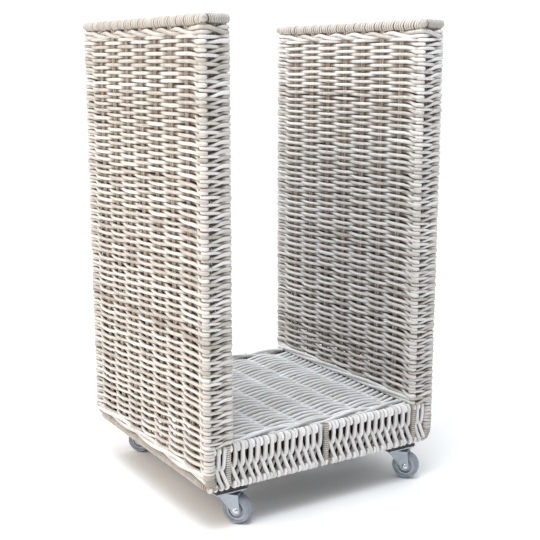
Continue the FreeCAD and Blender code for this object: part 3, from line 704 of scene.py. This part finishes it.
def side_row(centre_x, parity):
    """Plan points and swings of a row on the outer wall alone, turned round its two posts."""
    leg = long_leg(centre_x, outer=True)
    start, direction, outward, length = leg
    direction = np.asarray(direction)
    back_leg = (np.asarray(start) + direction * length, -direction, outward, length)
    swings = wall_swings(kind_at(parity, centre_x > 0))
    plan = np.concatenate(
        [
            corner_points(back_leg, CAP_SWING, SIDE_WRAP, SIDE_WRAP_STEPS)[:0:-1],
            wall_points(leg, WALL_PLACES, swings),
            corner_points(leg, CAP_SWING, SIDE_WRAP, SIDE_WRAP_STEPS)[1:],
        ]
    )
    at_post = np.full(SIDE_WRAP_STEPS - 1, CAP_SWING)
    return plan, np.concatenate([at_post, swings, at_post])


# The twist of two strands under the top poles
ROPE_Z = TOP_UNDER - 6.8
ROPE_RADIUS = 3.75
ROPE_OUT = 3.0
ROPE_SWING = 3.6
ROPE_LIFT = 3.7
ROPE_POST_OUT = 3.0
ROPE_RISE = 1.0
ROPE_LONG_STEPS = 64
ROPE_END_STEPS = 12


def rope_row(weave, centre_x):
    """Two strands twisted round each other under the top poles, once past each stake pair."""
    parts = []
    wound = 0.0
    for leg in panel_legs(centre_x):
        _, _, out, length = leg
        long_wall = length > END_Y
        free = STAKE_PITCH / 2 if long_wall else 0.0
        steps = ROPE_LONG_STEPS if long_wall else ROPE_END_STEPS
        half_turns = STAKE_PAIRS if long_wall else 1
        places = np.arange(steps) / steps * length
        plan = wall_points(leg, places, np.zeros(steps))
        phase = wound + np.clip((places - free) / (length - 2 * free), 0, 1) * half_turns * pi
        from_post = np.minimum(places, length - places)
        near_post = 1 - ease(from_post / (free or WALL_SPREAD))
        parts.append((plan, np.broadcast_to(out, (steps, 2)), phase, near_post))
        wound += half_turns * pi
        plan = corner_points(leg, 0.0)
        outward = corner_points(leg, 1.0) - plan
        parts.append((plan, outward, np.full(CORNER_STEPS, wound), np.ones(CORNER_STEPS)))
    plan, outward, phase, near_post = (np.concatenate(values) for values in zip(*parts))
    narrow = np.abs(plan[:, 1]) > END_Y - 1
    lift = ROPE_RISE * np.maximum(near_post, narrow)
    for strand in (0, pi):
        swing = ROPE_OUT + ROPE_SWING * np.sin(phase + strand) + ROPE_POST_OUT * near_post
        height = ROPE_Z + lift - ROPE_LIFT * np.cos(phase + strand)
        path = points_at(*(plan + outward * swing[:, None]).T, height)
        weave.add(path, ROPE_RADIUS * (1 + waves(1, len(plan), count=5, size=0.03)), UP, closed=True)


def panel_rows(side, centre_x):
    """All rows of a panel, in two pieces whose rows alternate."""
    even = np.arange(FIRST_ROW, LAST_ROW, ROW_PITCH)
    low = np.arange(FIRST_ROW - ROW_PITCH, LOWEST_ROW, -ROW_PITCH)
    wave = LEVEL_WAVE * np.sin(even / LEVEL_WAVE_RUN + rng.uniform(0, tau))
    levels = even + wave * (even < LEVEL_WAVE_TOP)
    for parity, letter, faces in ((0, "a", ("outer", "front")), (1, "b", ("inner", "back"))):
        weave = Weave()
        chosen = levels[parity::2]
        chosen = chosen + rng.normal(0, LEVEL_SCATTER, len(chosen))
        add_rows(weave, *ring_row(centre_x, parity), chosen)
        add_rows(weave, *side_row(centre_x, parity), drops=0.0, girths=1.0, levels=low[1 - parity :: 2])
        if parity == 0:
            rope_row(weave, centre_x)
        nodes = [f"{side}_panel_{face}_weave" for face in faces]
        weave.build(f"{side}_rows_{letter}", panel_looks[side], "weave", nodes)


# Strands along the foot of the long walls, and the bindings of the outer corners
FOOT_STEPS = 60
FOOT_SWING = 1.8
FOOT_ROOM = 0.9
FOOT_MIDDLE = SIDE_BOTTOM + 3.5
FOOT_LENGTH = 34.0
FOOT_ROUND_FROM = SIDE_BOTTOM + 11.5
FOOT_ROUND = 30.0


def foot_twist(weave, leg, out, height, lay, count, radius):
    """Strands twisted round each other along a wall; lay is the number of stake pairs per half turn."""
    share = np.linspace(0, 1, FOOT_STEPS)
    phase = share * (STAKE_PAIRS + 1) * pi / lay
    for strand in range(count):
        twist = phase + strand * tau / count
        plan = wall_points(leg, share * leg[3], out + FOOT_SWING * np.sin(twist))
        level = height + (radius + FOOT_ROOM) * np.cos(twist) + waves(1, FOOT_STEPS, count=4, size=0.4)[0]
        weave.add(points_at(*plan.T, level), radius, UP)


def panel_foot(side, centre_x):
    """Twists along both long walls, and the bound corners of the outer wall, rounded towards the base."""
    twists = Weave()
    outer, inner = long_leg(centre_x, outer=True), long_leg(centre_x, outer=False)
    foot_twist(twists, outer, out=6.0, height=SIDE_BOTTOM + 8.0, lay=2.0, count=2, radius=3.6)
    foot_twist(twists, inner, out=7.0, height=DECK_TOP + 5.5, lay=3.0, count=3, radius=3.2)
    twists.build(f"{side}_foot_strands", deck_look, "weave")
    bindings = Weave()
    for end in (-1, 1):
        corner = (np.sign(centre_x) * OUTER_X, end * END_Y, FOOT_MIDDLE)
        points, outward = coil(
            corner, FOOT_LENGTH, "z", ribbon=5.0, pitch=4.9, radius=9.4, thickness=4.2, steps=16, taper=2.0
        )
        below = np.clip(FOOT_ROUND_FROM - points[:, 2], 0, FOOT_ROUND - 1)
        points[:, 0] -= np.sign(centre_x) * (FOOT_ROUND - np.sqrt(FOOT_ROUND**2 - below**2))
        bindings.add(points, radius=2.5, up=outward)
    bindings.build(f"{side}_foot_bindings", panel_looks[side], "weave")


def upright(x, y, low):
    """Path of a cane from a height up into the top poles."""
    return points_at(x, y, np.linspace(low, TOP_UNDER + CANE_REACH, CANE_STEPS))


def panel_canes(side, centre_x):
    """Stakes in pairs, the stakes of the narrow faces and the posts at the corners."""
    stakes, posts = Weave(), Weave()
    for wall_x in (centre_x - WALL_SPREAD, centre_x + WALL_SPREAD):
        for pair in range(1, STAKE_PAIRS + 1):
            for twin in (-1, 1):
                x = wall_x + waves(1, CANE_STEPS, count=3, size=0.25)[0]
                y = pair * STAKE_PITCH - END_Y + twin * PAIR_SPACING / 2
                y = y + waves(1, CANE_STEPS, count=4, size=0.35)[0]
                radius = STAKE_RADIUS * rng.uniform(low=0.94, high=1.06)
                stakes.add(upright(x, y, STAKE_FOOT), radius, ACROSS)
        for end in (-1, 1):
            posts.add(upright(wall_x, end * END_Y, STAKE_FOOT), POST_RADIUS, ACROSS, sides=10)
    for end in (-1, 1):
        for place in END_STAKES:
            path = upright(centre_x + place, end * (END_Y - END_STAKE_INSET), END_STAKE_FOOT)
            stakes.add(path, STAKE_RADIUS, ACROSS, sides=6)
    stakes.build(f"{side}_stake_canes", stake_look, "stake_cane", [f"{side}_panel_stakes"])
    post_nodes = [f"{side}_{face}_{end}_post" for face in ("outer", "inner") for end in ("front", "back")]
    posts.build(f"{side}_post_canes", stake_look, "post_cane", post_nodes)


# Peel-wrapped poles
PEEL_WANDER = 0.1
PEEL_GAP_RUN = 1.2
TAPER_RUN = 2.5
LEAST_TAPER = 0.1
CORE_STEPS = 40
CORE_SHARE = 0.8
BEND_FROM = 200.0
BEND_RADIUS = 32.0
BOTTOM_WRAP_LENGTH = 446.0
WRAP_GAPS = [half * STAKE_PITCH / 2 for half in range(1, 2 * STAKE_PAIRS + 2)]
GAP_SHIFT = 8.0
GAP_SCATTER = 5.0
TOP_POLE_SPREAD = PANEL_X - INNER_FACE - TOP_RAIL_RADIUS - 0.5
TOP_POLE_LENGTHS = (2 * HALF_DEPTH - 4.0, 2 * HALF_DEPTH - 4 * END_RAIL_RADIUS)
END_POLE_START = 13.0
TIP_RADII = (6.8, 6.6, 5.8)
TIP_LENGTH = 3.0
TIP_INSET = 4.5
TIP_RISE = 1.5


def coil(centre, length, axis, ribbon, pitch, radius, thickness, gaps=(), gap=0.0, steps=18, taper=0.0):
    """Points and outward directions of a ribbon wound round a pole, drawn in at both ends by taper."""
    turns = max(1, round((length - gap * len(gaps)) / pitch))
    count = turns * steps
    angle = np.linspace(0, turns * tau, count)
    run = (length - gap * len(gaps) - ribbon) * np.linspace(0, 1, count) + ribbon / 2
    for place in gaps:
        run = run + gap * ease((run - place) / (pitch * PEEL_GAP_RUN) + 0.5)
    far = "xyz".index(axis)
    outward = np.insert(np.stack([np.cos(angle), np.sin(angle)], axis=-1), far, 0.0, axis=1)
    wander = rng.normal(0, PEEL_WANDER, turns + 1)
    lift = np.interp(angle / tau, np.arange(turns + 1), wander)
    from_end = np.minimum(run, length - run)
    lift = lift - taper * np.clip(1 - from_end / (TAPER_RUN * max(taper, LEAST_TAPER)), 0, 1) ** 2
    points = outward * (radius - thickness / 2 + lift)[:, None] + np.asarray(centre, float)
    points[:, far] += run - length / 2
    return points, outward


def pole_path(centre, length, axis, steps):
    """Straight path along an axis through a point."""
    path = np.repeat(np.asarray(centre, float)[None], steps, axis=0)
    path[:, "xyz".index(axis)] += np.linspace(-length / 2, length / 2, steps)
    return path


def bent_in(points):
    """Points of a pole along y with both ends drawn in towards the middle of the carrier."""
    beyond = np.clip(np.abs(points[:, 1]) - BEND_FROM, 0, BEND_RADIUS - 1)
    bent = points.copy()
    bent[:, 0] -= np.sign(points[:, 0]) * (BEND_RADIUS - np.sqrt(BEND_RADIUS**2 - beyond**2))
    return bent


def wind(
    wrap, core, centre, length, axis, radius, pitch, thickness,
    steps=18, sides=8, cover=0.93, bend=None, **winding,
):
    """Adds a wound pole to a mesh of wraps and a mesh of cores. cover is the ribbon's share of the pitch."""
    ribbon = pitch * cover
    points, outward = coil(centre, length, axis, ribbon, pitch, radius, thickness, steps=steps, **winding)
    path = pole_path(centre, length - 2 * (radius - thickness), axis, CORE_STEPS)
    if bend:
        points, path = bend(points), bend(path)
    strips = max(1, len(points) // (steps * 2))
    wrap.add(points, ribbon / 2, outward, sides=sides, flat=thickness / ribbon, strips=strips)
    core.add(path, radius - thickness * CORE_SHARE, ACROSS if axis == "z" else UP, sides=16)


def wrapped_pole(name, centre, length, axis, nodes, **winding):
    """A core, dark as painted shade in the slits, wound with flat peel."""
    wrap, core = Weave(), Weave()
    wind(wrap, core, centre, length, axis, **winding)
    wrap.build(name, wrap_look, "wrapped_pole", nodes)
    core.build(f"{name}_core", shaded_core_look, "wrapped_pole")


def panel_poles(side, centre_x):
    """Poles on top of a panel, the cut ends of the left-hand one, and the pole under the outer wall."""
    faces = ("outer", "inner") if centre_x < 0 else ("inner", "outer")
    for face, lean, length in zip(faces, (-1, 1), TOP_POLE_LENGTHS):
        middle = (centre_x + lean * TOP_POLE_SPREAD, 0, TOP_RAIL_Z)
        edge = (2 * END_Y - length) / 2
        gaps = [place - edge - GAP_SHIFT + rng.uniform(-GAP_SCATTER, GAP_SCATTER) for place in WRAP_GAPS]
        wrapped_pole(
            f"{side}_{face}_top_wrap", middle, length, "y", [f"{side}_top_{face}_rail"], gaps=gaps, gap=2.4,
            radius=TOP_RAIL_RADIUS, pitch=6.4, thickness=2.8, steps=20, cover=0.96, taper=3.5,
        )
    ends, cores, tips = Weave(), Weave(), Weave()
    first_x, last_x = centre_x - END_POLE_START, centre_x + PANEL_X - INNER_FACE
    for end in (-1, 1):
        middle = ((first_x + last_x) / 2, end * (HALF_DEPTH - END_RAIL_RADIUS), TOP - END_RAIL_RADIUS)
        wind(
            ends, cores, middle, last_x - first_x, "x",
            radius=END_RAIL_RADIUS, pitch=3.3, thickness=1.5, steps=16, sides=6, taper=2.5,
        )
        tip = (centre_x - TOP_POLE_SPREAD - TIP_INSET, end * (HALF_DEPTH - TIP_INSET), TOP_RAIL_Z + TIP_RISE)
        tips.add(pole_path(tip, TIP_LENGTH, "y", len(TIP_RADII)), [TIP_RADII[::-end]], UP, sides=18)
    ends.build(f"{side}_end_wraps", wrap_look, "wrapped_pole", [f"{side}_top_end_rails"])
    cores.build(f"{side}_end_cores", shaded_core_look, "wrapped_pole")
    tips.build(f"{side}_pole_tips", end_look, "wrapped_pole")
    base = (np.sign(centre_x) * OUTER_X, 0, BOTTOM_RAIL_Z)
    wrapped_pole(
        f"{side}_bottom_wrap", base, BOTTOM_WRAP_LENGTH, "y", [f"{side}_bottom_rail"],
        radius=BOTTOM_RAIL_RADIUS, pitch=4.4, thickness=1.9, steps=16, sides=6, cover=0.82, taper=0.8,
        bend=bent_in,
    )


# Deck: strands across the bay, over and under five canes, with a twisted edge front and back
DECK_CANES = 5
DECK_PITCH = 2 * INNER_FACE / (DECK_CANES + 1)
DECK_MARKS = np.arange(DECK_CANES + 2) * DECK_PITCH - INNER_FACE
DECK_ROW_PITCH = 7.3
DECK_ROW_REACH = 198.0
DECK_STEPS = 9 * (DECK_CANES + 1) + 1
DECK_CANE_Z = DECK_MID - 0.8
DECK_CANE_LENGTH = 430.0
DECK_CANE_RADIUS = 2.6
RAIL_STEPS = 12
DECK_SWING = 5.2
DECK_STRAND_RADIUS = 3.4
STRAND_RANGE = (0.93, 1.07)
EDGE_STEPS = 90
EDGE_LAY = 1.4 * DECK_PITCH
EDGE_START = 0.25
EDGE_Y = 208.5
EDGE_Z = DECK_TOP - 1.4
EDGE_SWING = 4.4
EDGE_LIFT = 4.0


def deck_strands():
    """The woven top of the deck."""
    deck = Weave()
    all_rows = np.arange(-DECK_ROW_REACH, DECK_ROW_REACH + 1, DECK_ROW_PITCH)
    places = np.linspace(-INNER_FACE, INNER_FACE, DECK_STEPS)
    for parity in (0, 1):
        swings = [DECK_SWING * (1 if (mark + parity) % 2 else -1) for mark in range(DECK_CANES + 2)]
        rows = all_rows[parity::2]
        shape = len(rows), len(places)
        y = rows[:, None] + waves(*shape, count=6, size=0.5)
        z = DECK_CANE_Z + through(DECK_MARKS, swings, places) + waves(*shape, count=5, size=0.35)
        radius = DECK_STRAND_RADIUS * rng.uniform(*STRAND_RANGE, (len(rows), 1))
        deck.add(points_at(places, y, z), radius, UP)
    deck.build("deck_strands", deck_look, "weave", ["deck_weave"])


def deck_edges():
    """Two strands twisted round each other along the deck's front and back edge."""
    twist = Weave()
    places = np.linspace(-INNER_FACE, INNER_FACE, EDGE_STEPS)
    for end in (-1, 1):
        for strand in (0, pi):
            phase = (places / EDGE_LAY + EDGE_START) * pi + strand
            y = end * (EDGE_Y - EDGE_SWING * np.sin(phase)) + waves(1, EDGE_STEPS, count=5, size=0.3)[0]
            z = EDGE_Z + EDGE_LIFT * np.cos(phase) + waves(1, EDGE_STEPS, count=5, size=0.3)[0]
            twist.add(points_at(places, y, z), DECK_STRAND_RADIUS, UP)
    twist.build("deck_edge_twist", deck_look, "weave")


def deck_canes():
    """The canes that the deck is woven round."""
    canes = Weave()
    for mark in DECK_MARKS[1:-1]:
        canes.add(pole_path((mark, 0, DECK_CANE_Z), DECK_CANE_LENGTH, "y", RAIL_STEPS), DECK_CANE_RADIUS, UP)
    canes.build("deck_canes", stake_look, "stake_cane", ["deck_stakes"])


# Apron: strands wound over the deck rail and the bottom rail, which cross on the way down
APRON_RAIL_RADIUS = 3.4
APRON_RAILS = (
    ("deck_pole", "deck_rail", DECK_MID, 375.0),
    ("base_pole", "bottom_rail", BOTTOM_RAIL_Z, 445.0),
)
APRON_WRAP_RADIUS = 4.9
APRON_STRAND_RADIUS = 3.65
APRON_ARC_STEPS = 12
APRON_STEPS = 15
# Start, end and number of strands of each half
APRON_BAYS = ((-INNER_X + 5.0, -6.0, 13), (6.0, INNER_X - 5.0, 12))
APRON_SHIFT = 1.5
APRON_SCATTER = 0.5
APRON_CORNERS = ((-INNER_X - 8.0, -INNER_X - 18.0), (INNER_X + 9.0, INNER_X + 20.0))

# Where a course crosses to the other side of the rails, its arcs over both rails, and its lean along them.
# The first comes down in front, the second behind. 0 degrees is the front of a rail, 90 its top.
APRON_COURSES = (
    {
        "starts": -1, "crosses": (0.42, 0.72), "head": (205, 0), "foot": (180, 395),
        "lean": ([0, 0.45, 0.68, 1], [0, -1.8, -5.6, -15.4]),
    },
    {
        "starts": 1, "crosses": (0.33, 0.61), "head": (-40, 180), "foot": (360, 165),
        "lean": ([0, 0.3, 0.51, 0.68, 1], [-8.6, -8.0, -6.2, -3.0, 6.0]),
    },
)
APRON_POST_OUT = 3.0
APRON_POST_MIDDLE = 115.0
APRON_POST_LENGTH = 70.0


def rail_arc(height, start, end):
    """Depth and height along an arc round a rail of the front apron."""
    angle = np.radians(np.linspace(start, end, APRON_ARC_STEPS))
    depth = -END_Y - APRON_WRAP_RADIUS * np.cos(angle)
    return np.stack([depth, height + APRON_WRAP_RADIUS * np.sin(angle)], axis=-1)


def apron_profile(course):
    """Depth and height of a strand from the deck rail down to the bottom rail, and its lean on the way."""
    share = np.linspace(0, 1, APRON_STEPS)[1:-1]
    start, stop = course["crosses"]
    side = course["starts"] * (1 - 2 * ease((share - start) / (stop - start)))
    height = DECK_MID + (BOTTOM_RAIL_Z - DECK_MID) * share
    middle = np.stack([-END_Y + APRON_WRAP_RADIUS * side, height], axis=-1)
    head, foot = rail_arc(DECK_MID, *course["head"]), rail_arc(BOTTOM_RAIL_Z, *course["foot"])
    way = np.concatenate([np.zeros(APRON_ARC_STEPS), share, np.ones(APRON_ARC_STEPS)])
    return np.concatenate([head, middle, foot]), through(*course["lean"], way)


def apron_strands(weave, places, turn):
    """Strands of both courses at several places along the rails. turn is -1 for the back apron."""
    for course in APRON_COURSES:
        line, lean = apron_profile(course)
        x = np.asarray(places)[:, None] + lean + waves(len(places), len(line), count=3, size=0.45)
        radius = APRON_STRAND_RADIUS * rng.uniform(*STRAND_RANGE, (len(places), 1))
        weave.add(points_at(turn * x, turn * line[:, 0], line[:, 1]), radius, ACROSS)


def apron(end, turn):
    """One apron with its two rails."""
    weave = Weave()
    for low, high, count in APRON_BAYS:
        places = low + (np.arange(count) + 0.5) * (high - low) / count + APRON_SHIFT
        apron_strands(weave, places + rng.normal(0, APRON_SCATTER, count), turn)
    for places in APRON_CORNERS:
        apron_strands(weave, places, turn)
    weave.build(f"{end}_apron_strands", apron_look, "weave", [f"{end}_apron_weave"])
    for name, node, height, length in APRON_RAILS:
        rail = Weave()
        path = pole_path((0, -turn * END_Y, height), length, "x", RAIL_STEPS)
        rail.add(path, APRON_RAIL_RADIUS, UP, sides=10)
        rail.build(f"{end}_{name}", post_look, "wrapped_pole", [f"{end}_{node}"])


def apron_posts():
    """Wrapped posts in the aprons: one in the middle and one at each panel's inner wall."""
    posts, cores = Weave(), Weave()
    for turn in (1, -1):
        for place in (-INNER_X, 0.0, INNER_X):
            centre = (turn * place, -turn * (END_Y + APRON_POST_OUT), APRON_POST_MIDDLE)
            wind(
                posts, cores, centre, APRON_POST_LENGTH, "z",
                radius=5.4, pitch=4.2, thickness=2.6, steps=16, cover=0.86,
            )
    posts.build("apron_post_wraps", post_look, "post_cane", ["apron_mid_posts"])
    cores.build("apron_post_cores", shaded_core_look, "post_cane")


# Dark boards between the ribs, seen through the gaps of the aprons: painted shade, standing for the shade
# under the deck
RIB_HALF = 6.0
RIB_PLACES = (rib_low[0] + RIB_HALF, 0.0, rib_high[0] - RIB_HALF)
RIB_ROOM = RIB_HALF + 0.3
LINING_ROOM = 0.2
LINING_REACH = outer_low[0] - 1.0
LINING_FACE = end_low[1] - 1.5
LINING_THICKNESS = 10.0
BOX_FACES = [(0, 2, 3, 1), (4, 5, 7, 6), (0, 1, 5, 4), (2, 6, 7, 3), (0, 4, 6, 2), (1, 3, 7, 5)]


def apron_shade_boards():
    """The dark boards as one piece, painted shade under the deck."""
    points, faces = [], []
    heights = (rib_low[2] + LINING_ROOM, DECK_UNDER - LINING_ROOM)
    rib_sides = [place + gap for place in RIB_PLACES for gap in (-RIB_ROOM, RIB_ROOM)]
    edges = [-LINING_REACH, *rib_sides, LINING_REACH]
    for end in (-1, 1):
        depths = sorted((end * (LINING_FACE - LINING_THICKNESS), end * LINING_FACE))
        for sides in zip(edges[::2], edges[1::2]):
            faces += [tuple(corner + len(points) for corner in quad) for quad in BOX_FACES]
            points += [(x * MM, y * MM, z * MM) for z in heights for y in depths for x in sides]
    mesh = bpy.data.meshes.new("apron_shade_boards")
    mesh.from_pydata(points, [], faces)
    place_piece("apron_shade_boards", mesh, board_look)


# Finishes of the pieces that keep their solid
FINISHES = {
    "board": board_look, "dark_block": block_look, "zinc": zinc_look,
    "bright_steel": steel_look, "hub_plastic": hub_look, "tyre_rubber": tyre_look,
}
EDGED = ("zinc", "bright_steel", "hub_plastic")


def finish_solids():
    """Materials for the solids that still show, and soft edges for the hard ones."""
    slots = {part["node"]: part["material_slot"] for part in frame["record"]["subparts"]}
    for name, piece in frame["nodes"].items():
        slot = slots[name]
        if slot not in FINISHES or piece.hide_render:
            continue
        piece.data.materials.clear()
        piece.data.materials.append(FINISHES[slot])
        if slot in EDGED:
            bevel = piece.modifiers.new("edges", "BEVEL")
            bevel.width = 0.0005
            bevel.segments = 2
            bevel.limit_method = "ANGLE"


for panel in PANELS.items():
    panel_rows(*panel)
    panel_foot(*panel)
    panel_canes(*panel)
for panel in PANELS.items():
    panel_poles(*panel)
deck_strands()
deck_edges()
deck_canes()
apron("front", 1)
apron("back", -1)
apron_shade_boards()
apron_posts()
finish_solids()


# Floor, light and camera
def add_floor():
    """A plain pale floor."""
    bpy.ops.mesh.primitive_plane_add(size=24.0, location=(0, 0, 0))
    floor = bpy.context.object
    floor.name = "floor"
    floor.data.materials.append(floor_look)


def add_surroundings():
    """White surroundings, brightest overhead and behind, dimmer towards the front."""
    world = bpy.data.worlds.new("studio")
    bpy.context.scene.world = world
    world.use_nodes = True
    tree = world.node_tree
    background = tree.nodes["Background"]
    background.inputs["Color"].default_value = (0.95, 0.975, 1.0, 1)
    facing = add_node(tree, "ShaderNodeTexCoord").outputs["Generated"]
    facing = add_node(tree, "ShaderNodeSeparateXYZ", {0: facing}).outputs
    from_back = spread(tree, facing["Y"], -0.6, 0.5, 0.19, 1.2)
    from_above = spread(tree, facing["Z"], 0.0, 1.0, 0.0, 0.56)
    tree.links.new(sums(tree, "ADD", from_back, from_above), background.inputs["Strength"])


def area_light(name, place, target, size, energy, colour):
    """A soft square light aimed at a point."""
    data = bpy.data.lights.new(name, "AREA")
    data.size = size
    data.energy = energy
    data.color = colour
    light = bpy.data.objects.new(name, data)
    light.location = place
    aim = np.asarray(target, float) - np.asarray(place, float)
    pitch = math.atan2(math.hypot(aim[0], aim[1]), -aim[2])
    light.rotation_euler = (pitch, 0, math.atan2(-aim[0], aim[1]))
    bpy.context.scene.collection.objects.link(light)


def add_camera():
    """The camera that was fitted to the photograph, and plain picture colours."""
    data = bpy.data.cameras.new("camera")
    data.lens = 68.09
    data.sensor_width = 36.0
    camera = bpy.data.objects.new("camera", data)
    camera.location = (-0.982, -1.611, 0.766)
    camera.rotation_euler = (math.radians(78.53), 0, math.radians(-32.05))
    bpy.context.scene.collection.objects.link(camera)
    bpy.context.scene.camera = camera
    bpy.context.scene.view_settings.view_transform = "Standard"


add_floor()
add_surroundings()
area_light("key", (-2.7, 0.0, 2.1), target=(0, 0, 0.45), size=1.6, energy=34, colour=(1.0, 0.76, 0.50))
area_light("overhead", (-0.6, -0.75, 2.9), target=(0, 0, 0.3), size=1.2, energy=42, colour=(0.86, 0.935, 1.0))
add_camera()
